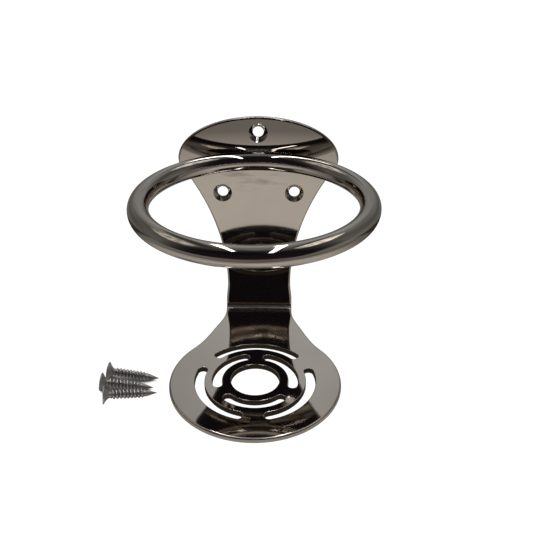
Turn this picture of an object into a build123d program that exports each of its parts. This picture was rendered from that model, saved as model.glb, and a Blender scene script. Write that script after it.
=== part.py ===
"""Wall-mounted hair dryer holder: a bent sheet bracket, a welded ring and three loose wood screws.

Frame: the origin is the middle of the round tray, on its underside. +Z is up, the wall is on the +Y side
and the back of the wall plate lies in the plane y = TRAY_REACH. The loose screws lie on the plane z = 0,
as the tray does. All sizes are in mm.
"""

from build123d import *
import math
import os

os.makedirs("parts", exist_ok=True)

# Sheet
SHEET = 2.5
EDGE_ROUND = 0.9
BEND_INNER_RADIUS = 3.0

# Ring of round bar
RING_DIAMETER = 100.0
BAR_DIAMETER = 8.4
RING_DROP = 19.0

# Wall plate
HEAD_WIDTH = 73.8
HEAD_RISE = 20.0
HEAD_SIDE = 2.1
HEAD_SIDE_ROUNDED = 0.95
PLATE_HEIGHT = 102.4
NECK_WIDTH = 31.4
WAIST_HEIGHT = 17.0
BEND_WIDTH = 33.2

# Tray
TRAY_DIAMETER = 75.6
TRAY_REACH = 62.0
TRAY_FLARE_WIDTH = 40.8
TRAY_FLARE_REACH = 19.7
TRAY_FLARE_END = 23.5

# Openings of the tray, cut between round-ended ribs
CENTRE_HOLE_DIAMETER = 21.4
INNER_SLOT_RADIUS = 16.8
INNER_SLOT_WIDTH = 4.2
INNER_SLOT_SPAN = 84.0
INNER_RIB_ANGLE = 90.0
OUTER_SLOT_RADIUS = 24.5
OUTER_SLOT_WIDTH = 4.2
OUTER_SLOT_SPAN = 89.0
OUTER_RIB_ANGLE = 270.0
SLOT_COUNT = 3
SLOT_ROUND = 0.3

# Screws and the holes that take them
SCREW_THREAD_DIAMETER = 4.0
SCREW_CORE_DIAMETER = 2.7
SCREW_HEAD_DIAMETER = 8.0
SCREW_LENGTH = 23.0
SCREW_RIM = 0.4
SCREW_HEAD_DEPTH = 3.4
SCREW_TIP_LENGTH = 4.6
THREAD_PITCH = 1.5
HEAD_HOLLOW = 0.35
RECESS_SPAN = 4.4
RECESS_WIDTH = 1.0
RECESS_DEPTH = 1.8
RECESS_TAPER = 8.0
HOLE_CLEARANCE = 1.0
COUNTERSINK_CLEARANCE = 0.8
COUNTERSINK_ANGLE = 90.0
HOLE_COUNT = 3
HOLE_CIRCLE_DIAMETER = 39.0
HOLE_CIRCLE_DROP = 26.8

# Weld beads between the ring and the wall plate
WELD_LENGTH = 12.0
WELD_THROAT = 1.5
WELD_LEG = 3.9
WELD_ROOT = 0.8

# Where the loose screws lie: (x, y) of the middle of the head and the heading of the tip in degrees
SCREW_PLACES = {
    "screw_back": (-65.6, 2.7, -3.0),
    "screw_middle": (-67.1, -5.0, 0.0),
    "screw_front": (-64.3, -13.9, 14.0),
}

# Worked out from the sizes above
BEND_OUTER_RADIUS = BEND_INNER_RADIUS + SHEET
RING_RADIUS = (RING_DIAMETER - BAR_DIAMETER) / 2
PLATE_FRONT = TRAY_REACH - SHEET
RING_HEIGHT = PLATE_HEIGHT - RING_DROP
HOLE_CIRCLE_HEIGHT = PLATE_HEIGHT - HOLE_CIRCLE_DROP
RING_Y = PLATE_FRONT - RING_DIAMETER / 2
TRAY_RADIUS = TRAY_DIAMETER / 2
HOLE_DIAMETER = SCREW_THREAD_DIAMETER + HOLE_CLEARANCE
COUNTERSINK_DIAMETER = SCREW_HEAD_DIAMETER + COUNTERSINK_CLEARANCE


def outline_of_plate():
    """Prism with the front view of the wall plate, deep enough to hold the bend."""
    half_head = HEAD_WIDTH / 2
    head_centre_height = PLATE_HEIGHT - HEAD_RISE
    corner_height = head_centre_height - HEAD_SIDE
    widening = half_head - NECK_WIDTH / 2
    flare_height = corner_height - WAIST_HEIGHT
    flare_radius = (widening**2 + flare_height**2) / (2 * widening)
    turn = math.asin(flare_height / flare_radius)
    corner_round = HEAD_SIDE_ROUNDED * HEAD_SIDE / math.tan(turn / 2)
    bend_top = (BEND_WIDTH / 2, BEND_OUTER_RADIUS)
    waist = (NECK_WIDTH / 2, WAIST_HEIGHT)
    with BuildPart() as prism:
        with BuildSketch(Plane.XZ.offset(-TRAY_REACH)) as outline:
            with BuildLine():
                Polyline((0, 0), (BEND_WIDTH / 2, 0), bend_top)
                Spline(bend_top, waist, tangents=((0, 1), (0, 1)))
                CenterArc((NECK_WIDTH / 2 + flare_radius, WAIST_HEIGHT), flare_radius, 180, -math.degrees(turn))
                Line((half_head, corner_height), (half_head, head_centre_height))
                EllipticalCenterArc((0, head_centre_height), half_head, HEAD_RISE, 0, arc_size=90)
                mirror(about=Plane.YZ)
            make_face()
            corners = [
                outline.vertices().sort_by_distance((side * half_head, corner_height))[0] for side in (-1, 1)
            ]
            fillet(corners, corner_round)
        extrude(amount=BEND_OUTER_RADIUS)
    return prism.part


def outline_of_tray():
    """Prism with the plan view of the tray, high enough to hold the bend."""
    joint = (math.sqrt(TRAY_RADIUS**2 - TRAY_FLARE_END**2), TRAY_FLARE_END)
    bend_front = (BEND_WIDTH / 2, TRAY_REACH - BEND_OUTER_RADIUS)
    middle = (TRAY_FLARE_WIDTH / 2, TRAY_REACH - TRAY_FLARE_REACH)
    tangent = (TRAY_FLARE_END, -joint[0])
    joint_angle = math.degrees(math.asin(TRAY_FLARE_END / TRAY_RADIUS))
    with BuildPart() as prism:
        with BuildSketch(Plane.XY):
            with BuildLine():
                Polyline((0, TRAY_REACH), (BEND_WIDTH / 2, TRAY_REACH), bend_front)
                Spline(bend_front, middle, joint, tangents=((0, -1), tangent))
                CenterArc((0, 0), TRAY_RADIUS, joint_angle, -90 - joint_angle)
                mirror(about=Plane.YZ)
            make_face()
        extrude(amount=BEND_OUTER_RADIUS)
    return prism.part


def arc_slots(radius, width, span, rib_angle):
    """Ring of round-ended slots round the middle of the tray, with one rib at rib_angle."""
    pitch = 360 / SLOT_COUNT
    with BuildSketch(Plane.XY) as slots:
        for index in range(SLOT_COUNT):
            start = rib_angle + index * pitch + (pitch - span) / 2
            SlotArc(arc=CenterArc((0, 0), radius, start, span), height=width)
    return slots.sketch


plate_prism = outline_of_plate()
tray_prism = outline_of_tray()
inner_slots = arc_slots(INNER_SLOT_RADIUS, INNER_SLOT_WIDTH, INNER_SLOT_SPAN, INNER_RIB_ANGLE)
outer_slots = arc_slots(OUTER_SLOT_RADIUS, OUTER_SLOT_WIDTH, OUTER_SLOT_SPAN, OUTER_RIB_ANGLE)

# Bracket: an L-shaped section, cut to the two outlines, with its openings
with BuildPart() as bracket:
    with BuildSketch(Plane.YZ) as section:
        with BuildLine():
            Polyline(
                (TRAY_REACH, 0),
                (TRAY_REACH, PLATE_HEIGHT),
                (PLATE_FRONT, PLATE_HEIGHT),
                (PLATE_FRONT, SHEET),
                (-TRAY_DIAMETER, SHEET),
                (-TRAY_DIAMETER, 0),
                close=True,
            )
        make_face()
        fillet(section.vertices().sort_by_distance((TRAY_REACH, 0))[0], BEND_OUTER_RADIUS)
        fillet(section.vertices().sort_by_distance((PLATE_FRONT, SHEET))[0], BEND_INNER_RADIUS)
    extrude(amount=TRAY_DIAMETER, both=True)
    add(plate_prism + tray_prism, mode=Mode.INTERSECT)
    bend_lines = bracket.edges().filter_by(Axis.X)
    across_sheet = bracket.edges().filter_by(GeomType.LINE).filter_by(lambda edge: edge.length < 1.01 * SHEET)
    fillet(bracket.edges() - bend_lines - across_sheet, EDGE_ROUND)

    with BuildSketch(Plane.XY):
        add(inner_slots)
        add(outer_slots)
        Circle(CENTRE_HOLE_DIAMETER / 2)
    extrude(amount=SHEET, mode=Mode.SUBTRACT)
    upper_rims = bracket.edges(Select.LAST).filter_by_position(Axis.Z, SHEET - 0.01, SHEET + 0.01)
    fillet(upper_rims, SLOT_ROUND)

    with Locations(Plane((0, PLATE_FRONT, HOLE_CIRCLE_HEIGHT), x_dir=(1, 0, 0), z_dir=(0, -1, 0))):
        with PolarLocations(HOLE_CIRCLE_DIAMETER / 2, HOLE_COUNT, start_angle=90):
            CounterSinkHole(HOLE_DIAMETER / 2, COUNTERSINK_DIAMETER / 2, SHEET, COUNTERSINK_ANGLE)
bracket.part.label = "bracket"

# Ring: round bar bent to a circle, its outside touching the front of the wall plate
with BuildPart() as ring:
    with BuildSketch(Plane.XZ.offset(-RING_Y)):
        with Locations((RING_RADIUS, RING_HEIGHT)):
            Circle(BAR_DIAMETER / 2)
    revolve(axis=Axis((0, RING_Y, 0), (0, 0, 1)))
ring.part.label = "ring"

# Weld: a three-sided bead along the bar, above it and below it, against the wall plate
with BuildPart() as ring_weld:
    for side in (1, -1):
        with BuildSketch(Plane.YZ) as bead_section:
            with BuildLine():
                Polyline(
                    (PLATE_FRONT, RING_HEIGHT + side * WELD_ROOT),
                    (PLATE_FRONT, RING_HEIGHT + side * WELD_LEG),
                    (PLATE_FRONT - WELD_THROAT, RING_HEIGHT + side * (WELD_LEG - WELD_THROAT / 2)),
                    (PLATE_FRONT - WELD_THROAT, RING_HEIGHT + side * WELD_ROOT),
                    close=True,
                )
            make_face()
        extrude(amount=WELD_LENGTH / 2, both=True)
    add(ring.part, mode=Mode.SUBTRACT)
ring_weld.part.label = "ring_weld"

for finished in (bracket, ring, ring_weld):
    export_step(finished.part, f"parts/{finished.part.label}.step")


def thread_profile(core_radius, crest_radius, start, turns):
    """Points of a ring-shaped thread, one crest for each pitch, from start towards the tip."""
    points = []
    for turn in range(turns):
        points.append((start + (turn + 0.5) * THREAD_PITCH, crest_radius))
        points.append((start + (turn + 1) * THREAD_PITCH, core_radius))
    return points


def lying_screw(label, x, y, heading):
    """A screw on its side: the rim of the head and the last full thread touch the plane z = 0."""
    head_radius = SCREW_HEAD_DIAMETER / 2
    crest_radius = SCREW_THREAD_DIAMETER / 2
    core_radius = SCREW_CORE_DIAMETER / 2
    turns = int((SCREW_LENGTH - SCREW_TIP_LENGTH - SCREW_HEAD_DEPTH) / THREAD_PITCH)
    last_crest = SCREW_HEAD_DEPTH + (turns - 0.5) * THREAD_PITCH
    tilt = math.atan((head_radius - crest_radius) / (last_crest - SCREW_RIM))
    lift = SCREW_RIM * math.sin(tilt) + head_radius * math.cos(tilt)
    along = Vector(1, 0, 0).rotate(Axis.Y, math.degrees(tilt)).rotate(Axis.Z, heading)
    side = Vector(0, 1, 0).rotate(Axis.Z, heading)
    middle = Vector(x, y, lift)
    neck_middle = (
        (SCREW_RIM + SCREW_HEAD_DEPTH) / 2 - HEAD_HOLLOW,
        (head_radius + core_radius) / 2 - HEAD_HOLLOW,
    )

    with BuildPart() as screw:
        with BuildSketch(Plane(middle, x_dir=along, z_dir=side)):
            with BuildLine():
                Polyline((0, 0), (0, head_radius), (SCREW_RIM, head_radius))
                ThreePointArc((SCREW_RIM, head_radius), neck_middle, (SCREW_HEAD_DEPTH, core_radius))
                Polyline(
                    (SCREW_HEAD_DEPTH, core_radius),
                    *thread_profile(core_radius, crest_radius, SCREW_HEAD_DEPTH, turns),
                    (SCREW_LENGTH, 0),
                    (0, 0),
                )
            make_face()
        revolve(axis=Axis(middle, along))
        with BuildSketch(Plane(middle, x_dir=side, z_dir=along)):
            for turn in (45, 135):
                SlotOverall(RECESS_SPAN, RECESS_WIDTH, rotation=turn)
        extrude(amount=RECESS_DEPTH, taper=RECESS_TAPER, mode=Mode.SUBTRACT)
    screw.part.label = label
    return screw.part


for name, place in SCREW_PLACES.items():
    export_step(lying_screw(name, *place), f"parts/{name}.step")
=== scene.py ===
"""Looks for a wall-mounted hair dryer holder of polished stainless steel, with three loose wood screws."""

import math

import bmesh
import bpy
from mathutils import Matrix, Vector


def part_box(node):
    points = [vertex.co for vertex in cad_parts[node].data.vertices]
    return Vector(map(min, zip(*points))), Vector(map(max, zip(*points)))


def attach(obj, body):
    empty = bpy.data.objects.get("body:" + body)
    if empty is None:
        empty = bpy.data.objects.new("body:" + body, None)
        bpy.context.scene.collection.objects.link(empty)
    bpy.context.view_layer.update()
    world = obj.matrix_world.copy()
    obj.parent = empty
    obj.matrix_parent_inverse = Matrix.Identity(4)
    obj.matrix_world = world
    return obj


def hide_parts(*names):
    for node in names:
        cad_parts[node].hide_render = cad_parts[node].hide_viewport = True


bl_info = {
    "name": "Hair Dryer Holder",
    "version": (1, 0, 0),
    "blender": (4, 5, 0),
    "location": "View3D > Sidebar > Dryer Holder",
    "description": "Finishes the pieces of a polished steel hair dryer holder and sets its stage",
    "category": "Object",
}

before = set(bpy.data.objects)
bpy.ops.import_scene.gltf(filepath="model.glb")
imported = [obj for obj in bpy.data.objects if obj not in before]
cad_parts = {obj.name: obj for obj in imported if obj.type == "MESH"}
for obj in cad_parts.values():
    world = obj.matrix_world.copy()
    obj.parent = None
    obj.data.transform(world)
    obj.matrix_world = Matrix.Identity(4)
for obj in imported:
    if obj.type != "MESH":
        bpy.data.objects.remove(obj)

MM = 0.001

# Each loose screw: its CAD node, its body, the middle of its head face and the heading of its tip in degrees
LOOSE_SCREWS = (
    ("screw_back", "back_screw", -65.6 * MM, 2.7 * MM, -3.0),
    ("screw_middle", "middle_screw", -67.1 * MM, -5.0 * MM, 0.0),
    ("screw_front", "front_screw", -64.3 * MM, -13.9 * MM, 14.0),
)

# Where the sheet's finish changes: its thickness, the depth that the plate's cut edge is centred on, a little
# behind mid-sheet, how far out the tray counts as flat, the circle of holes and how far their marks reach
SHEET = 2.5 * MM
CUT_EDGE_DEPTH = 60.85 * MM
TRAY_FLAT_RADIUS = 34.5 * MM
HOLE_CIRCLE_RADIUS = 19.5 * MM
HOLE_CIRCLE_HEIGHT = 75.6 * MM
HOLE_TURNS = (90, 210, 330)
HOLE_MARK_RADIUS = 4.45 * MM
HOLE_MARK_DEPTH = 61.3 * MM
CHATTER_MARKS = 17

# The screws' own details
HEAD_DEPTH = 3.4 * MM
HEAD_RIM = 0.4 * MM
TIP_LENGTH = 4.6 * MM
RECESS_SPAN = 4.4 * MM
RECESS_WIDTH = 1.0 * MM
RECESS_DEPTH = 1.8 * MM


# Settings


class HolderSteelSettings(bpy.types.PropertyGroup):
    """Finish of the bracket and the ring"""

    sheet_colour: bpy.props.FloatVectorProperty(
        name="Sheet Colour",
        description="Colour of the polished sheet",
        subtype="COLOR",
        size=4,
        min=0.0,
        max=1.0,
        default=(0.575, 0.535, 0.490, 1.0),
    )
    bar_colour: bpy.props.FloatVectorProperty(
        name="Bar Colour",
        description="Colour of the polished round bar",
        subtype="COLOR",
        size=4,
        min=0.0,
        max=1.0,
        default=(0.60, 0.56, 0.515, 1.0),
    )
    sheet_roughness: bpy.props.FloatProperty(
        name="Sheet Roughness",
        description="How blurred the sheet's reflections are",
        min=0.0,
        max=1.0,
        default=0.035,
    )
    bar_roughness: bpy.props.FloatProperty(
        name="Bar Roughness",
        description="How blurred the bar's reflections are",
        min=0.0,
        max=1.0,
        default=0.03,
    )


class HolderScrewSettings(bpy.types.PropertyGroup):
    """Shape and finish of the loose wood screws"""

    colour: bpy.props.FloatVectorProperty(
        name="Screw Colour",
        description="Colour of the dull plated steel",
        subtype="COLOR",
        size=4,
        min=0.0,
        max=1.0,
        default=(0.64, 0.625, 0.612, 1.0),
    )
    head_diameter: bpy.props.FloatProperty(
        name="Head Diameter",
        description="Diameter across the countersunk head",
        subtype="DISTANCE",
        unit="LENGTH",
        default=8.0 * MM,
    )
    thread_diameter: bpy.props.FloatProperty(
        name="Thread Diameter",
        description="Diameter over the crests of the thread",
        subtype="DISTANCE",
        unit="LENGTH",
        default=4.0 * MM,
    )
    core_diameter: bpy.props.FloatProperty(
        name="Core Diameter",
        description="Diameter at the root of the thread",
        subtype="DISTANCE",
        unit="LENGTH",
        default=2.7 * MM,
    )
    length: bpy.props.FloatProperty(
        name="Screw Length",
        description="From the face of the head to the tip",
        subtype="DISTANCE",
        unit="LENGTH",
        default=23.0 * MM,
    )
    pitch: bpy.props.FloatProperty(
        name="Thread Pitch",
        description="Distance from crest to crest",
        subtype="DISTANCE",
        unit="LENGTH",
        default=1.5 * MM,
    )


class HolderStageSettings(bpy.types.PropertyGroup):
    """Camera and floor"""

    floor_colour: bpy.props.FloatVectorProperty(
        name="Floor Colour",
        description="Colour of the plain floor",
        subtype="COLOR",
        size=4,
        min=0.0,
        max=1.0,
        default=(0.9, 0.9, 0.9, 1.0),
    )
    camera_place: bpy.props.FloatVectorProperty(
        name="Camera Place",
        description="Where the camera stands",
        subtype="XYZ",
        unit="LENGTH",
        size=3,
        default=(0.0099, -0.2462, 0.1969),
    )
    camera_yaw: bpy.props.FloatProperty(
        name="Camera Yaw",
        description="How far the camera turns to the right",
        subtype="ANGLE",
        default=-0.020,
    )
    camera_pitch: bpy.props.FloatProperty(
        name="Camera Pitch",
        description="How far the camera looks down",
        subtype="ANGLE",
        default=0.509,
    )
    focal_length: bpy.props.FloatProperty(
        name="Focal Length",
        description="Focal length on a 36 mm wide sensor",
        default=47.44,
    )


# Shared shader groups


def new_group(name, inputs, outputs):
    """An empty shader node group with the named sockets, and its input and output nodes."""
    group = bpy.data.node_groups.new(name, "ShaderNodeTree")
    for label, kind, default in inputs:
        socket = group.interface.new_socket(label, in_out="INPUT", socket_type=kind)
        if default is not None:
            socket.default_value = default
    for label, kind in outputs:
        group.interface.new_socket(label, in_out="OUTPUT", socket_type=kind)
    source = group.nodes.new("NodeGroupInput")
    sink = group.nodes.new("NodeGroupOutput")
    return group, source, sink


def add_math(tree, operation, first, second=0.0):
    """A Math node in the tree; each operand is a socket or a number. Returns its output."""
    node = tree.nodes.new("ShaderNodeMath")
    node.operation = operation
    for slot, value in enumerate((first, second)):
        if isinstance(value, (int, float)):
            node.inputs[slot].default_value = value
        else:
            tree.links.new(value, node.inputs[slot])
    return node.outputs[0]


def add_noise(tree, vector, scale, detail, stretch=(1.0, 1.0, 1.0)):
    """Noise in object space, stretched along an axis where stretch is below 1. Returns its factor."""
    mapping = tree.nodes.new("ShaderNodeMapping")
    mapping.inputs["Scale"].default_value = stretch
    tree.links.new(vector, mapping.inputs["Vector"])
    noise = tree.nodes.new("ShaderNodeTexNoise")
    noise.inputs["Detail"].default_value = detail
    if isinstance(scale, (int, float)):
        noise.inputs["Scale"].default_value = scale
    else:
        tree.links.new(scale, noise.inputs["Scale"])
    tree.links.new(mapping.outputs["Vector"], noise.inputs["Vector"])
    return noise.outputs["Fac"]


def add_range(tree, value, low, high, new_low, new_high):
    """A clamped Map Range node. Returns its result."""
    node = tree.nodes.new("ShaderNodeMapRange")
    node.inputs["From Min"].default_value = low
    node.inputs["From Max"].default_value = high
    node.inputs["To Min"].default_value = new_low
    node.inputs["To Max"].default_value = new_high
    tree.links.new(value, node.inputs["Value"])
    return node.outputs["Result"]


def polish_marks_group():
    """Fine crossing hairlines that a buffing wheel leaves, as a height and as added roughness."""
    group, source, sink = new_group(
        "polish_marks",
        (
            ("Vector", "NodeSocketVector", None),
            ("Scale", "NodeSocketFloat", 900.0),
            ("Roughness", "NodeSocketFloat", 0.04),
        ),
        (("Height", "NodeSocketFloat"), ("Roughness", "NodeSocketFloat")),
    )
    along = add_noise(group, source.outputs["Vector"], source.outputs["Scale"], 2.0, (0.04, 1.0, 1.0))
    across = add_noise(group, source.outputs["Vector"], source.outputs["Scale"], 2.0, (1.0, 0.05, 0.06))
    along = add_math(group, "MULTIPLY", along, 0.65)
    across = add_math(group, "MULTIPLY", across, 0.35)
    lines = add_range(group, add_math(group, "ADD", along, across), 0.42, 0.62, 0.0, 1.0)
    group.links.new(lines, sink.inputs["Height"])
    rough = add_math(group, "MULTIPLY", lines, source.outputs["Roughness"])
    group.links.new(rough, sink.inputs["Roughness"])
    return group


def handling_marks_group():
    """Faint smudges and a breath of dust, as a mask from 0 to 1."""
    group, source, sink = new_group(
        "handling_marks",
        (("Vector", "NodeSocketVector", None), ("Scale", "NodeSocketFloat", 38.0)),
        (("Mask", "NodeSocketFloat"),),
    )
    patches = add_noise(group, source.outputs["Vector"], source.outputs["Scale"], 5.0)
    specks = add_noise(group, source.outputs["Vector"], 1400.0, 1.0)
    broad = add_range(group, patches, 0.48, 0.72, 0.0, 1.0)
    fine = add_range(group, specks, 0.70, 0.78, 0.0, 0.3)
    group.links.new(add_math(group, "MAXIMUM", broad, fine), sink.inputs["Mask"])
    return group


GROUP_MAKERS = {"polish_marks": polish_marks_group, "handling_marks": handling_marks_group}


# Materials


def new_material(name):
    """A node material with a Principled BSDF: the material, its tree, the shader and object coordinates."""
    material = bpy.data.materials.new(name)
    material.use_nodes = True
    tree = material.node_tree
    shader = tree.nodes["Principled BSDF"]
    coordinates = tree.nodes.new("ShaderNodeTexCoord").outputs["Object"]
    return material, tree, shader, coordinates


def place_group(tree, name, vector, **values):
    """One of the shared groups, made on first use, in a material with its own values."""
    node = tree.nodes.new("ShaderNodeGroup")
    node.node_tree = bpy.data.node_groups.get(name) or GROUP_MAKERS[name]()
    tree.links.new(vector, node.inputs["Vector"])
    for label, value in values.items():
        node.inputs[label].default_value = value
    return node


def add_bump(tree, height, distance, strength, shader):
    """A Bump node from the height to the shader's Normal."""
    bump = tree.nodes.new("ShaderNodeBump")
    bump.inputs["Distance"].default_value = distance
    bump.inputs["Strength"].default_value = strength
    tree.links.new(height, bump.inputs["Height"])
    tree.links.new(bump.outputs["Normal"], shader.inputs["Normal"])


def add_mix(tree, amount, first, second):
    """A colour Mix node; each colour is a socket or a tuple. Returns its result."""
    node = tree.nodes.new("ShaderNodeMix")
    node.data_type = "RGBA"
    tree.links.new(amount, node.inputs[0])
    for slot, value in ((6, first), (7, second)):
        if isinstance(value, (tuple, list)):
            node.inputs[slot].default_value = value
        else:
            tree.links.new(value, node.inputs[slot])
    return node.outputs[2]


def add_ellipse(tree, across, along, centre, half, edge):
    """A soft-edged ellipse as a mask: 1 inside, 0 outside."""
    total = None
    for value, middle, reach in zip((across, along), centre, half):
        scaled = add_math(tree, "DIVIDE", add_math(tree, "SUBTRACT", value, middle), reach)
        squared = add_math(tree, "MULTIPLY", scaled, scaled)
        total = squared if total is None else add_math(tree, "ADD", total, squared)
    return add_range(tree, total, 1.0, edge, 0.0, 1.0)


def split_place(tree, coordinates):
    """The three object coordinates on their own."""
    split = tree.nodes.new("ShaderNodeSeparateXYZ")
    tree.links.new(coordinates, split.inputs[0])
    return split.outputs["X"], split.outputs["Y"], split.outputs["Z"]


def polished_steel(name, colour, roughness, waves):
    """Mirror-polished steel with hairlines and smudges, as parts to which a piece adds its own marks."""
    material, tree, shader, coordinates = new_material(name)
    shader.inputs["Metallic"].default_value = 1.0
    marks = place_group(tree, "polish_marks", coordinates, Scale=900.0, Roughness=0.012)
    smudges = place_group(tree, "handling_marks", coordinates, Scale=38.0)
    dulled = add_range(tree, smudges.outputs["Mask"], 0.0, 1.0, roughness, roughness + 0.018)
    rough = add_math(tree, "ADD", dulled, marks.outputs["Roughness"])
    tint = add_mix(tree, smudges.outputs["Mask"], colour, [channel * 0.94 for channel in colour[:3]] + [1.0])
    fine = add_math(tree, "MULTIPLY", marks.outputs["Height"], 0.00000006)
    scale, height = waves
    broad = add_math(tree, "MULTIPLY", add_noise(tree, coordinates, scale, 1.0), height)
    return material, tree, shader, coordinates, tint, rough, add_math(tree, "ADD", fine, broad)


def finish_surface(tree, shader, tint, rough, height):
    """Joins a finished colour, roughness and height in metres to the shader."""
    tree.links.new(tint, shader.inputs["Base Color"])
    tree.links.new(add_math(tree, "MINIMUM", rough, 1.0), shader.inputs["Roughness"])
    add_bump(tree, height, 1.0, 1.0, shader)


def countersink_marks(tree, across, along, up):
    """A mask of the wall plate's three countersinks, and the height of the chatter marks round each."""
    mask, mark = 0.0, 0.0
    in_front = add_range(tree, along, HOLE_MARK_DEPTH, HOLE_MARK_DEPTH + 0.2 * MM, 0.01 * MM, 0.0)
    for turn in HOLE_TURNS:
        angle = math.radians(turn)
        hole_x = HOLE_CIRCLE_RADIUS * math.cos(angle)
        hole_z = HOLE_CIRCLE_HEIGHT + HOLE_CIRCLE_RADIUS * math.sin(angle)
        half = (HOLE_MARK_RADIUS, HOLE_MARK_RADIUS)
        inside = add_ellipse(tree, across, up, (hole_x, hole_z), half, 0.98)
        right = add_math(tree, "SUBTRACT", across, hole_x)
        above = add_math(tree, "SUBTRACT", up, hole_z)
        around = add_math(tree, "MULTIPLY", add_math(tree, "ARCTAN2", above, right), CHATTER_MARKS)
        wave = add_math(tree, "MULTIPLY", add_math(tree, "SINE", around), in_front)
        mask = add_math(tree, "MAXIMUM", mask, inside)
        mark = add_math(tree, "ADD", mark, add_math(tree, "MULTIPLY", wave, inside))
    return mask, mark


def sheet_steel(colour, roughness):
    """The bracket's sheet: polished, duller along the bend and the cut edges, with darker streaks on the
    plate below the weld.
    """
    material, tree, shader, coordinates, tint, rough, height = polished_steel(
        "polished_sheet", colour, roughness, (55.0, 0.000007)
    )
    across, along, up = split_place(tree, coordinates)
    below_face = add_range(tree, up, SHEET - 0.06 * MM, SHEET - 0.01 * MM, 1.0, 0.0)
    slot_rim = add_range(tree, up, SHEET - 0.38 * MM, SHEET - 0.28 * MM, 0.0, 1.0)
    flat = add_ellipse(tree, across, along, (0.0, 0.0), (TRAY_FLAT_RADIUS, TRAY_FLAT_RADIUS), 0.96)
    edges = add_math(tree, "MAXIMUM", slot_rim, add_math(tree, "SUBTRACT", 1.0, flat))
    tray_edge = add_math(tree, "MULTIPLY", below_face, edges)

    countersunk, chatter = countersink_marks(tree, across, along, up)
    off_centre = add_math(tree, "ABSOLUTE", add_math(tree, "SUBTRACT", along, CUT_EDGE_DEPTH))
    between_faces = add_range(tree, off_centre, 1.0 * MM, 1.2 * MM, 1.0, 0.0)
    above_bend = add_range(tree, up, 8.0 * MM, 9.0 * MM, 0.0, 1.0)
    plate_edge = add_math(tree, "MULTIPLY", between_faces, above_bend)
    plate_edge = add_math(tree, "MULTIPLY", plate_edge, add_math(tree, "SUBTRACT", 1.0, countersunk))
    cut_edge = add_math(tree, "MAXIMUM", tray_edge, plate_edge)

    low_down = add_range(tree, up, 5.2 * MM, 5.8 * MM, 1.0, 0.0)
    far_back = add_range(tree, along, 56.2 * MM, 56.8 * MM, 0.0, 1.0)
    in_bend = add_math(tree, "MULTIPLY", low_down, far_back)
    rough = add_math(tree, "ADD", rough, add_math(tree, "MULTIPLY", cut_edge, 0.26))
    tint = add_mix(tree, add_math(tree, "MULTIPLY", cut_edge, 0.25), tint, (0.16, 0.14, 0.12, 1.0))
    rough = add_math(tree, "ADD", rough, add_math(tree, "MULTIPLY", in_bend, 0.14))

    # Darker, slightly duller blotchy streaks on the plate just below the ring
    near_weld = add_ellipse(tree, across, up, (-0.002, 0.0725), (0.020, 0.0065), 0.3)
    blotches = add_noise(tree, coordinates, 210.0, 4.0, (0.35, 1.0, 1.6))
    streaks = add_range(tree, blotches, 0.52, 0.68, 0.0, 1.0)
    streaks_below_weld = add_math(tree, "MULTIPLY", near_weld, streaks)
    tint = add_mix(tree, add_math(tree, "MULTIPLY", streaks_below_weld, 0.45), tint, (0.20, 0.17, 0.14, 1.0))
    rough = add_math(tree, "ADD", rough, add_math(tree, "MULTIPLY", streaks_below_weld, 0.05))
    finish_surface(tree, shader, tint, rough, add_math(tree, "ADD", height, chatter))
    return material


def bar_steel(colour, roughness, centre, ring_radius):
    """The ring's round bar: polished, with painted shade darkening its far left and right, with lines along
    it and ripples across.
    """
    material, tree, shader, coordinates, tint, rough, height = polished_steel(
        "polished_bar", colour, roughness, (75.0, 0.000022)
    )
    centred = tree.nodes.new("ShaderNodeVectorMath")
    centred.operation = "SUBTRACT"
    centred.inputs[1].default_value = centre
    tree.links.new(coordinates, centred.inputs[0])
    across, along, up = split_place(tree, centred.outputs[0])
    squares = (add_math(tree, "MULTIPLY", across, across), add_math(tree, "MULTIPLY", along, along))
    distance = add_math(tree, "SQRT", add_math(tree, "ADD", *squares))
    outward = add_math(tree, "SUBTRACT", distance, ring_radius)
    arc = add_math(tree, "MULTIPLY", add_math(tree, "ARCTAN2", along, across), ring_radius)
    unrolled = tree.nodes.new("ShaderNodeCombineXYZ")
    for value, socket in zip((arc, outward, up), ("X", "Y", "Z")):
        tree.links.new(value, unrolled.inputs[socket])

    lines = add_noise(tree, unrolled.outputs[0], 850.0, 2.0, (0.028, 1.0, 1.0))
    drawn = add_range(tree, lines, 0.44, 0.64, 0.0, 1.0)
    # Painted shade: the bar's colour darkens towards its far left and right; the drawn lines along it darken
    # it too
    painted_side_shade = add_range(tree, add_math(tree, "ABSOLUTE", across), 0.034, 0.047, 0.0, 0.58)
    marks_and_painted_light = add_math(tree, "MAXIMUM", painted_side_shade, add_math(tree, "MULTIPLY", drawn, 0.65))
    tint = add_mix(tree, marks_and_painted_light, tint, [part * 0.35 for part in colour[:3]] + [1.0])
    rough = add_math(tree, "ADD", rough, add_math(tree, "MULTIPLY", drawn, 0.02))
    ripple = add_noise(tree, unrolled.outputs[0], 1300.0, 1.0, (1.0, 0.12, 0.12))
    patchy = add_range(tree, add_noise(tree, coordinates, 26.0, 1.0), 0.40, 0.62, 0.25, 1.0)
    ripples = add_math(tree, "MULTIPLY", add_math(tree, "MULTIPLY", ripple, patchy), 0.0000035)
    relief = add_math(tree, "ADD", ripples, add_math(tree, "MULTIPLY", lines, 0.000012))
    finish_surface(tree, shader, tint, rough, add_math(tree, "ADD", height, relief))
    return material


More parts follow.
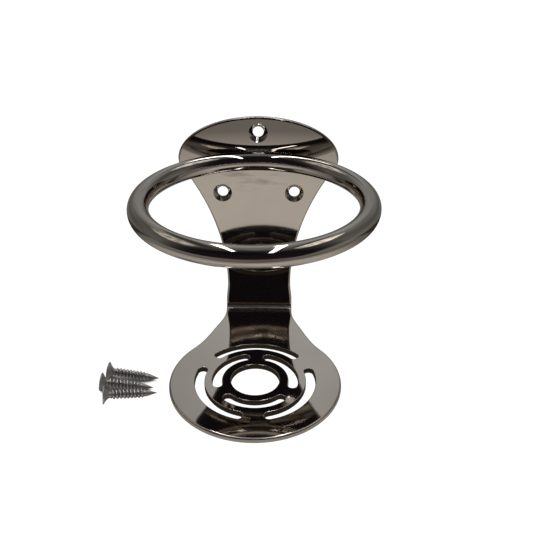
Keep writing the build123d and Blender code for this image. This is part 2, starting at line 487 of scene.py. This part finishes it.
def weld_steel(colour):
    """The weld bead: the same steel left dull, darkened partly as browned in the welding and partly as
    painted shade, and rippled along its length.
    """
    # The bead's colour is cut to about a fifth: partly browning, partly painted shade between the bar and the
    # plate
    material, tree, shader, coordinates, tint, rough, height = polished_steel(
        "weld_bead", [channel * 0.22 for channel in colour[:3]] + [1.0], 0.30, (300.0, 0.00002)
    )
    wave = tree.nodes.new("ShaderNodeTexWave")
    wave.bands_direction = "X"
    wave.inputs["Scale"].default_value = 260.0
    wave.inputs["Distortion"].default_value = 1.2
    wave.inputs["Detail"].default_value = 1.0
    tree.links.new(coordinates, wave.inputs["Vector"])
    troughs = add_range(tree, wave.outputs["Fac"], 0.1, 0.6, 0.5, 0.0)
    tint = add_mix(tree, troughs, tint, (0.09, 0.07, 0.05, 1.0))
    ripples = add_math(tree, "MULTIPLY", wave.outputs["Fac"], 0.00004)
    finish_surface(tree, shader, tint, rough, add_math(tree, "ADD", height, ripples))
    return material


def plated_steel(colour):
    """Dull plated screw steel: lighter on the crests of the thread, partly rubbed bright and partly a painted
    highlight, and darker at the root of the thread and along the shank.
    """
    material, tree, shader, coordinates = new_material("plated_screw")
    shader.inputs["Metallic"].default_value = 1.0
    marks = place_group(tree, "polish_marks", coordinates, Scale=1600.0, Roughness=0.10)
    smudges = place_group(tree, "handling_marks", coordinates, Scale=420.0)
    wear_and_glint = tree.nodes.new("ShaderNodeAttribute")
    wear_and_glint.attribute_name = "wear_and_glint"
    # Darker at the root of the thread and along the shank, clean on the head
    root_and_shank_darkening = add_range(tree, wear_and_glint.outputs["Fac"], 0.0, 0.7, 0.45, 0.0)
    root_shank_and_smudges = add_math(tree, "MAXIMUM", root_and_shank_darkening, add_math(tree, "MULTIPLY", smudges.outputs["Mask"], 0.5))
    plate = add_mix(tree, root_shank_and_smudges, colour, [channel * 0.40 for channel in colour[:3]] + [1.0])
    # Painted highlight: the crests turn almost white, partly rubbed bright, partly standing in for the glint
    # of the lamps
    marks_and_painted_light = add_range(tree, wear_and_glint.outputs["Fac"], 0.80, 1.0, 0.0, 1.0)
    tint = add_mix(tree, marks_and_painted_light, plate, (0.90, 0.89, 0.87, 1.0))
    dull = add_range(tree, root_shank_and_smudges, 0.0, 1.0, 0.42, 0.62)
    rubbed = add_math(tree, "SUBTRACT", dull, add_math(tree, "MULTIPLY", marks_and_painted_light, 0.20))
    rough = add_math(tree, "ADD", rubbed, marks.outputs["Roughness"])
    height = add_math(tree, "MULTIPLY", add_noise(tree, coordinates, 2600.0, 3.0), 0.00001)
    finish_surface(tree, shader, tint, rough, height)
    return material


def floor_material(colour):
    """Plain pale floor that glows: white to look at with painted shade in the gaps between the screws, in
    mirrors a painted warm pool of light, painted shadow under the tray, a painted dark band behind and
    painted shade among the screws.
    """
    material, tree, shader, coordinates = new_material("pale_floor")
    tree.nodes.remove(shader)
    across, along, _ = split_place(tree, coordinates)
    # In mirrors the floor glows with a painted warm pool of light
    pool = add_ellipse(tree, across, along, (0.0, -0.08), (0.24, 0.152), 0.05)
    lit = add_mix(tree, pool, (0.205, 0.193, 0.178, 1.0), (0.640, 0.600, 0.550, 1.0))
    # Painted shade: a dark band behind the holder, off to its left and right
    behind = add_math(tree, "ABSOLUTE", add_math(tree, "SUBTRACT", along, 0.13))
    beside = add_range(tree, add_math(tree, "ABSOLUTE", across), 0.045, 0.060, 0.0, 1.0)
    painted_dark_strip = add_math(tree, "MULTIPLY", add_range(tree, behind, 0.035, 0.070, 1.0, 0.0), beside)
    lit = add_mix(tree, painted_dark_strip, lit, (0.045, 0.042, 0.039, 1.0))
    # Painted shadow under the tray
    shade = add_ellipse(tree, across, along, (0.0, 0.0), (0.042, 0.042), 0.5)
    shaded = add_mix(tree, shade, lit, (0.035, 0.026, 0.020, 1.0))
    # Painted shade among the screws
    painted_shade_among_screws = add_ellipse(tree, across, along, (-0.056, -0.006), (0.021, 0.017), 0.5)
    mirrored = tree.nodes.new("ShaderNodeEmission")
    tree.links.new(add_mix(tree, painted_shade_among_screws, shaded, (0.17, 0.167, 0.163, 1.0)), mirrored.inputs["Color"])
    # Painted shade: where the screws close in on the white floor, it is darkened by how shut in it is
    open_sky = tree.nodes.new("ShaderNodeAmbientOcclusion")
    open_sky.samples = 16
    open_sky.inputs["Distance"].default_value = 0.008
    by_screws = add_ellipse(tree, across, along, (-0.0555, 0.0005), (0.0180, 0.0115), 0.75)
    shut_in = add_range(tree, open_sky.outputs["AO"], 0.42, 0.70, 1.0, 0.0)
    painted_crevice_shade = add_math(tree, "MULTIPLY", shut_in, by_screws)
    paper = tree.nodes.new("ShaderNodeEmission")
    tree.links.new(add_mix(tree, painted_crevice_shade, colour, (0.045, 0.043, 0.042, 1.0)), paper.inputs["Color"])
    paper.inputs["Strength"].default_value = 1.2
    mix = tree.nodes.new("ShaderNodeMixShader")
    tree.links.new(tree.nodes.new("ShaderNodeLightPath").outputs["Is Camera Ray"], mix.inputs[0])
    tree.links.new(mirrored.outputs[0], mix.inputs[1])
    tree.links.new(paper.outputs[0], mix.inputs[2])
    tree.links.new(mix.outputs[0], tree.nodes["Material Output"].inputs["Surface"])
    return material


def finish_node(name, material):
    """Gives a CAD node the material in every slot it has."""
    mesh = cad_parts[name].data
    for slot in range(len(mesh.materials)):
        mesh.materials[slot] = material


def new_piece(name, mesh, material, body, replaced):
    """A new piece in place of a CAD node, riding on the node's body."""
    piece = bpy.data.objects.new(name, mesh)
    bpy.context.scene.collection.objects.link(piece)
    mesh.materials.append(material)
    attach(piece, body)
    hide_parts(replaced)
    return piece


# Screw shape


def turned_body(shape, head_radius, core_radius, length):
    """Head, shank and point of a screw along +X, turned from a profile; the head face is left open."""
    profile = [(0.0, head_radius - 0.12 * MM), (0.12 * MM, head_radius), (HEAD_RIM, head_radius)]
    for step in range(1, 9):
        share = step / 8
        flare = (head_radius - core_radius) * (1.0 - share) ** 2.1
        profile.append((HEAD_RIM + (HEAD_DEPTH - HEAD_RIM) * share, core_radius + flare))
    profile += [(length - TIP_LENGTH, core_radius), (length - 0.5 * MM, core_radius * 0.16), (length, 0.0)]
    row = [shape.verts.new((x, 0.0, radius)) for x, radius in profile]
    edges = [shape.edges.new(pair) for pair in zip(row, row[1:])]
    bmesh.ops.spin(
        shape, geom=row + edges, cent=(0, 0, 0), axis=(1, 0, 0), angle=math.tau, steps=48, use_merge=True
    )
    bmesh.ops.remove_doubles(shape, verts=shape.verts, dist=0.01 * MM)


def cut_recess(shape):
    """Closes the head face round a cross recess with sloping walls."""
    rim = [edge for edge in shape.edges if edge.is_boundary]
    cross = bmesh.ops.create_grid(shape, x_segments=3, y_segments=3, size=1.0)["verts"]
    for vert in cross:
        reach = [RECESS_SPAN / 2 if abs(part) > 0.5 else RECESS_WIDTH / 2 for part in vert.co.xy]
        vert.co = (0.0, math.copysign(reach[0], vert.co.x), math.copysign(reach[1], vert.co.y))
    faces = list({face for vert in cross for face in vert.link_faces})
    corners = [face for face in faces if face.calc_center_median().yz.length > RECESS_SPAN * 0.35]
    corners = [face for face in corners if min(map(abs, face.calc_center_median().yz)) > RECESS_WIDTH / 2]
    bmesh.ops.delete(shape, geom=corners, context="FACES")
    floor = [face for face in faces if face.is_valid]
    cross = list({vert for face in floor for vert in face.verts})
    bmesh.ops.rotate(shape, verts=cross, cent=(0, 0, 0), matrix=Matrix.Rotation(math.radians(45), 3, "X"))
    outline = [edge for edge in {edge for face in floor for edge in face.edges} if edge.is_boundary]
    bmesh.ops.triangle_fill(shape, use_beauty=True, edges=rim + outline)
    sunk = bmesh.ops.extrude_face_region(shape, geom=floor)["geom"]
    bmesh.ops.delete(shape, geom=floor, context="FACES_ONLY")
    bottom = [part for part in sunk if isinstance(part, bmesh.types.BMVert)]
    bmesh.ops.scale(shape, verts=bottom, vec=(1.0, 0.80, 0.80))
    bmesh.ops.translate(shape, verts=bottom, vec=(RECESS_DEPTH, 0.0, 0.0))


def wind_thread(shape, core_radius, crest_radius, pitch, length, wear_and_glint):
    """A helical thread wound on the shank, fading in under the head and out at the point."""
    start = HEAD_DEPTH - 0.5 * pitch
    turns = int((length - 0.9 * MM - start) / pitch)
    section = ((-0.49, -0.12), (-0.22, 0.72), (-0.09, 1.0), (0.09, 1.0), (0.22, 0.72), (0.49, -0.12))
    depth = crest_radius - core_radius
    ring = [shape.verts.new((start + x * pitch, 0.0, core_radius + rise * depth)) for x, rise in section]
    for vert, (_, rise) in zip(ring, section):
        vert[wear_and_glint] = max(rise, 0.0)
    edges = [shape.edges.new(pair) for pair in zip(ring, ring[1:] + ring[:1])]
    before = set(shape.verts)
    steps = turns * 28
    end = bmesh.ops.spin(
        shape,
        geom=ring + edges,
        cent=(0, 0, 0),
        axis=(1, 0, 0),
        dvec=(turns * pitch / steps, 0, 0),
        angle=math.tau * turns,
        steps=steps,
    )["geom_last"]
    bmesh.ops.contextual_create(shape, geom=edges)
    bmesh.ops.contextual_create(shape, geom=[part for part in end if isinstance(part, bmesh.types.BMEdge)])
    wound = [vert for vert in shape.verts if vert not in before] + ring
    last_crest = HEAD_DEPTH + (int((length - TIP_LENGTH - HEAD_DEPTH) / pitch) - 0.5) * pitch
    for vert in wound:
        radius = vert.co.yz.length
        fade = min(1.0, max(0.0, (vert.co.x - start) / (0.8 * pitch)))
        radius_here = core_radius - 0.1 * MM + (radius - core_radius + 0.1 * MM) * fade
        if vert.co.x > last_crest:
            radius_here *= max(0.15, (length - vert.co.x) / (length - last_crest))
        vert.co.yz = vert.co.yz * (radius_here / radius)


def screw_mesh(name, sizes):
    """One whole screw along +X with the middle of its head face at the origin."""
    head_radius, core_radius = sizes.head_diameter / 2, sizes.core_diameter / 2
    shape = bmesh.new()
    wear_and_glint = shape.verts.layers.float.new("wear_and_glint")
    turned_body(shape, head_radius, core_radius, sizes.length)
    cut_recess(shape)
    for vert in shape.verts:
        on_head = 1.0 if vert.co.x < HEAD_RIM else (HEAD_DEPTH - vert.co.x) / HEAD_DEPTH
        vert[wear_and_glint] = min(0.78, max(0.15, on_head))
    wind_thread(shape, core_radius, sizes.thread_diameter / 2, sizes.pitch, sizes.length, wear_and_glint)
    bmesh.ops.recalc_face_normals(shape, faces=shape.faces)
    for face in shape.faces:
        face.smooth = face.calc_center_median().x > 0.01 * MM
    mesh = bpy.data.meshes.new(name)
    shape.to_mesh(mesh)
    shape.free()
    return mesh


def lay_down(mesh, sizes, place_x, place_y, heading):
    """Lays the screw on its side, resting on the rim of its head and its last full crest."""
    head_radius, crest_radius = sizes.head_diameter / 2, sizes.thread_diameter / 2
    turns = int((sizes.length - TIP_LENGTH - HEAD_DEPTH) / sizes.pitch)
    last_crest = HEAD_DEPTH + (turns - 0.5) * sizes.pitch
    tilt = math.atan((head_radius - crest_radius) / (last_crest - HEAD_RIM))
    lift = HEAD_RIM * math.sin(tilt) + head_radius * math.cos(tilt)
    place = Matrix.Translation((place_x, place_y, lift))
    mesh.transform(place @ Matrix.Rotation(math.radians(heading), 4, "Z") @ Matrix.Rotation(tilt, 4, "Y"))


# Operators


class HOLDER_OT_bracket(bpy.types.Operator):
    """Polish the bent and slotted sheet"""

    bl_idname = "holder.bracket"
    bl_label = "Polish Bracket"

    def execute(self, context):
        steel = context.scene.holder_steel
        finish_node("bracket", sheet_steel(list(steel.sheet_colour), steel.sheet_roughness))
        return {"FINISHED"}


class HOLDER_OT_ring(bpy.types.Operator):
    """Polish the ring of round bar and finish its weld"""

    bl_idname = "holder.ring"
    bl_label = "Polish Ring"

    def execute(self, context):
        steel = context.scene.holder_steel
        low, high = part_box("ring")
        centre = (low + high) / 2
        ring_radius = (high.x - low.x) / 2 - (high.z - low.z) / 2
        finish_node("ring", bar_steel(list(steel.bar_colour), steel.bar_roughness, centre, ring_radius))
        finish_node("ring_weld", weld_steel(list(steel.bar_colour)))
        return {"FINISHED"}


class HOLDER_OT_screws(bpy.types.Operator):
    """Make the three loose wood screws"""

    bl_idname = "holder.screws"
    bl_label = "Make Screws"

    def execute(self, context):
        sizes = context.scene.holder_screw
        material = plated_steel(list(sizes.colour))
        for node, body, place_x, place_y, heading in LOOSE_SCREWS:
            mesh = screw_mesh(f"{node}_turned", sizes)
            lay_down(mesh, sizes, place_x, place_y, heading)
            new_piece(f"{node}_turned", mesh, material, body, node)
        return {"FINISHED"}


def ceiling_strip(name, place, size, turn, radiance):
    """A long lamp overhead, facing straight down and turned about the vertical."""
    data = bpy.data.lights.new(name, "AREA")
    data.shape = "RECTANGLE"
    data.size, data.size_y = size
    data.energy = radiance * math.pi * size[0] * size[1]
    light = bpy.data.objects.new(name, data)
    light.location = place
    light.rotation_euler = (0.0, 0.0, turn)
    light.visible_camera = False
    bpy.context.scene.collection.objects.link(light)


def studio_world():
    """Room light: grey behind, dark towards the open front, two soft warm patches, white to look at."""
    world = bpy.data.worlds.new("studio")
    bpy.context.scene.world = world
    world.use_nodes = True
    tree = world.node_tree
    tree.nodes.clear()
    direction = tree.nodes.new("ShaderNodeTexCoord").outputs["Generated"]
    right, back, up = split_place(tree, direction)

    # Graded walls: dark in front, grey at the sides and behind
    sideways = add_math(tree, "ABSOLUTE", right)
    lean = add_math(tree, "ADD", back, add_math(tree, "MULTIPLY", sideways, 0.25))
    open_front = add_range(tree, lean, -0.42, 0.20, 0.0, 1.0)
    walls = add_math(tree, "MULTIPLY", open_front, open_front)
    room = add_mix(tree, walls, (0.012, 0.009, 0.012, 1.0), (0.150, 0.143, 0.135, 1.0))
    far_wall = add_range(tree, add_math(tree, "SUBTRACT", back, sideways), -0.15, 0.62, 0.0, 1.0)
    far_wall = add_math(tree, "MULTIPLY", far_wall, add_range(tree, up, 0.05, 0.34, 0.10, 1.0))
    room = add_mix(tree, far_wall, room, (0.385, 0.383, 0.376, 1.0))
    low_right = add_range(tree, add_math(tree, "SUBTRACT", right, up), 0.62, 0.88, 0.0, 1.0)
    room = add_mix(tree, low_right, room, (0.24, 0.225, 0.20, 1.0))

    # Ceiling patches: centre and half size as right and back over up, colour, where the edge ends, mottled
    height = add_math(tree, "MAXIMUM", up, 0.03)
    across = add_math(tree, "DIVIDE", right, height)
    along = add_math(tree, "DIVIDE", back, height)
    mottle = add_range(tree, add_noise(tree, direction, 14.0, 4.0), 0.40, 0.58, 0.22, 1.0)
    patches = (
        ((0.02, 1.55), (0.34, 0.62), (0.51, 0.51, 0.50, 1.0), 0.2, False),
        ((-0.80, 0.36), (0.40, 0.60), (1.15, 1.06, 0.92, 1.0), 0.35, True),
        ((0.51, 0.30), (0.25, 0.50), (1.70, 1.62, 1.48, 1.0), 0.35, True),
        ((-0.04, 0.66), (0.12, 0.44), (0.34, 0.33, 0.32, 1.0), 0.3, False),
        ((-0.385, 0.75), (0.12, 1.20), (0.07, 0.065, 0.06, 1.0), 0.3, False),
        ((0.300, 0.50), (0.06, 0.90), (0.11, 0.10, 0.095, 1.0), 0.3, False),
    )
    for centre, half, colour, edge, mottled in patches:
        mask = add_ellipse(tree, across, along, centre, half, edge)
        if mottled:
            mask = add_math(tree, "MULTIPLY", mask, mottle)
        room = add_mix(tree, mask, room, colour)

    low, ahead = add_range(tree, up, 0.03, 0.20, 1.0, 0.0), add_range(tree, back, -0.95, -0.80, 1.0, 0.0)
    skirting = add_math(tree, "MULTIPLY", low, ahead)
    room = add_mix(tree, skirting, room, (0.075, 0.030, 0.018, 1.0))

    mirrored = tree.nodes.new("ShaderNodeBackground")
    tree.links.new(room, mirrored.inputs["Color"])
    backdrop = tree.nodes.new("ShaderNodeBackground")
    backdrop.inputs["Strength"].default_value = 1.2
    backdrop.inputs["Color"].default_value = (1.0, 1.0, 1.0, 1.0)
    mix = tree.nodes.new("ShaderNodeMixShader")
    tree.links.new(tree.nodes.new("ShaderNodeLightPath").outputs["Is Camera Ray"], mix.inputs[0])
    tree.links.new(mirrored.outputs[0], mix.inputs[1])
    tree.links.new(backdrop.outputs[0], mix.inputs[2])
    output = tree.nodes.new("ShaderNodeOutputWorld")
    tree.links.new(mix.outputs[0], output.inputs["Surface"])


class HOLDER_OT_stage(bpy.types.Operator):
    """Set the camera, the floor and the soft studio light"""

    bl_idname = "holder.stage"
    bl_label = "Set Stage"

    def execute(self, context):
        stage = context.scene.holder_stage
        camera_data = bpy.data.cameras.new("camera")
        camera_data.sensor_width = 36.0
        camera_data.lens = stage.focal_length
        camera_data.clip_start = 0.01
        camera = bpy.data.objects.new("camera", camera_data)
        camera.location = stage.camera_place
        camera.rotation_euler = (math.pi / 2 - stage.camera_pitch, 0.0, -stage.camera_yaw)
        context.scene.collection.objects.link(camera)
        context.scene.camera = camera

        builder = bmesh.new()
        bmesh.ops.create_grid(builder, x_segments=1, y_segments=1, size=3.0)
        mesh = bpy.data.meshes.new("floor")
        builder.to_mesh(mesh)
        builder.free()
        floor = bpy.data.objects.new("floor", mesh)
        context.scene.collection.objects.link(floor)
        mesh.materials.append(floor_material(list(stage.floor_colour)))

        ceiling_strip("strip_left", (-0.228, 0.43, 1.2), (0.054, 1.46), 0.0, 6.0)
        ceiling_strip("strip_right", (0.164, 0.26, 1.2), (0.060, 1.84), 0.10, 6.0)
        studio_world()
        context.scene.view_settings.view_transform = "Standard"
        return {"FINISHED"}


class HOLDER_PT_panel(bpy.types.Panel):
    """Shows the settings of the hair dryer holder and the buttons that finish its pieces and set its stage"""

    bl_idname = "HOLDER_PT_panel"
    bl_label = "Hair Dryer Holder"
    bl_space_type = "VIEW_3D"
    bl_region_type = "UI"
    bl_category = "Dryer Holder"

    def draw(self, context):
        layout = self.layout
        for settings in (context.scene.holder_steel, context.scene.holder_screw, context.scene.holder_stage):
            box = layout.box()
            for label in settings.bl_rna.properties.keys():
                if label not in ("rna_type", "name"):
                    box.prop(settings, label)
        for operator in OPERATORS:
            layout.operator(operator.bl_idname)


SETTINGS = (HolderSteelSettings, HolderScrewSettings, HolderStageSettings)
OPERATORS = (HOLDER_OT_bracket, HOLDER_OT_ring, HOLDER_OT_screws, HOLDER_OT_stage)
CLASSES = SETTINGS + OPERATORS + (HOLDER_PT_panel,)


def register():
    for kind in CLASSES:
        bpy.utils.register_class(kind)
    bpy.types.Scene.holder_steel = bpy.props.PointerProperty(type=HolderSteelSettings)
    bpy.types.Scene.holder_screw = bpy.props.PointerProperty(type=HolderScrewSettings)
    bpy.types.Scene.holder_stage = bpy.props.PointerProperty(type=HolderStageSettings)


def unregister():
    del bpy.types.Scene.holder_stage
    del bpy.types.Scene.holder_screw
    del bpy.types.Scene.holder_steel
    for kind in reversed(CLASSES):
        bpy.utils.unregister_class(kind)


def main():
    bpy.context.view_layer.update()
    register()
    bpy.ops.holder.bracket()
    bpy.ops.holder.ring()
    bpy.ops.holder.screws()
    bpy.ops.holder.stage()


if __name__ == "__main__":
    main()
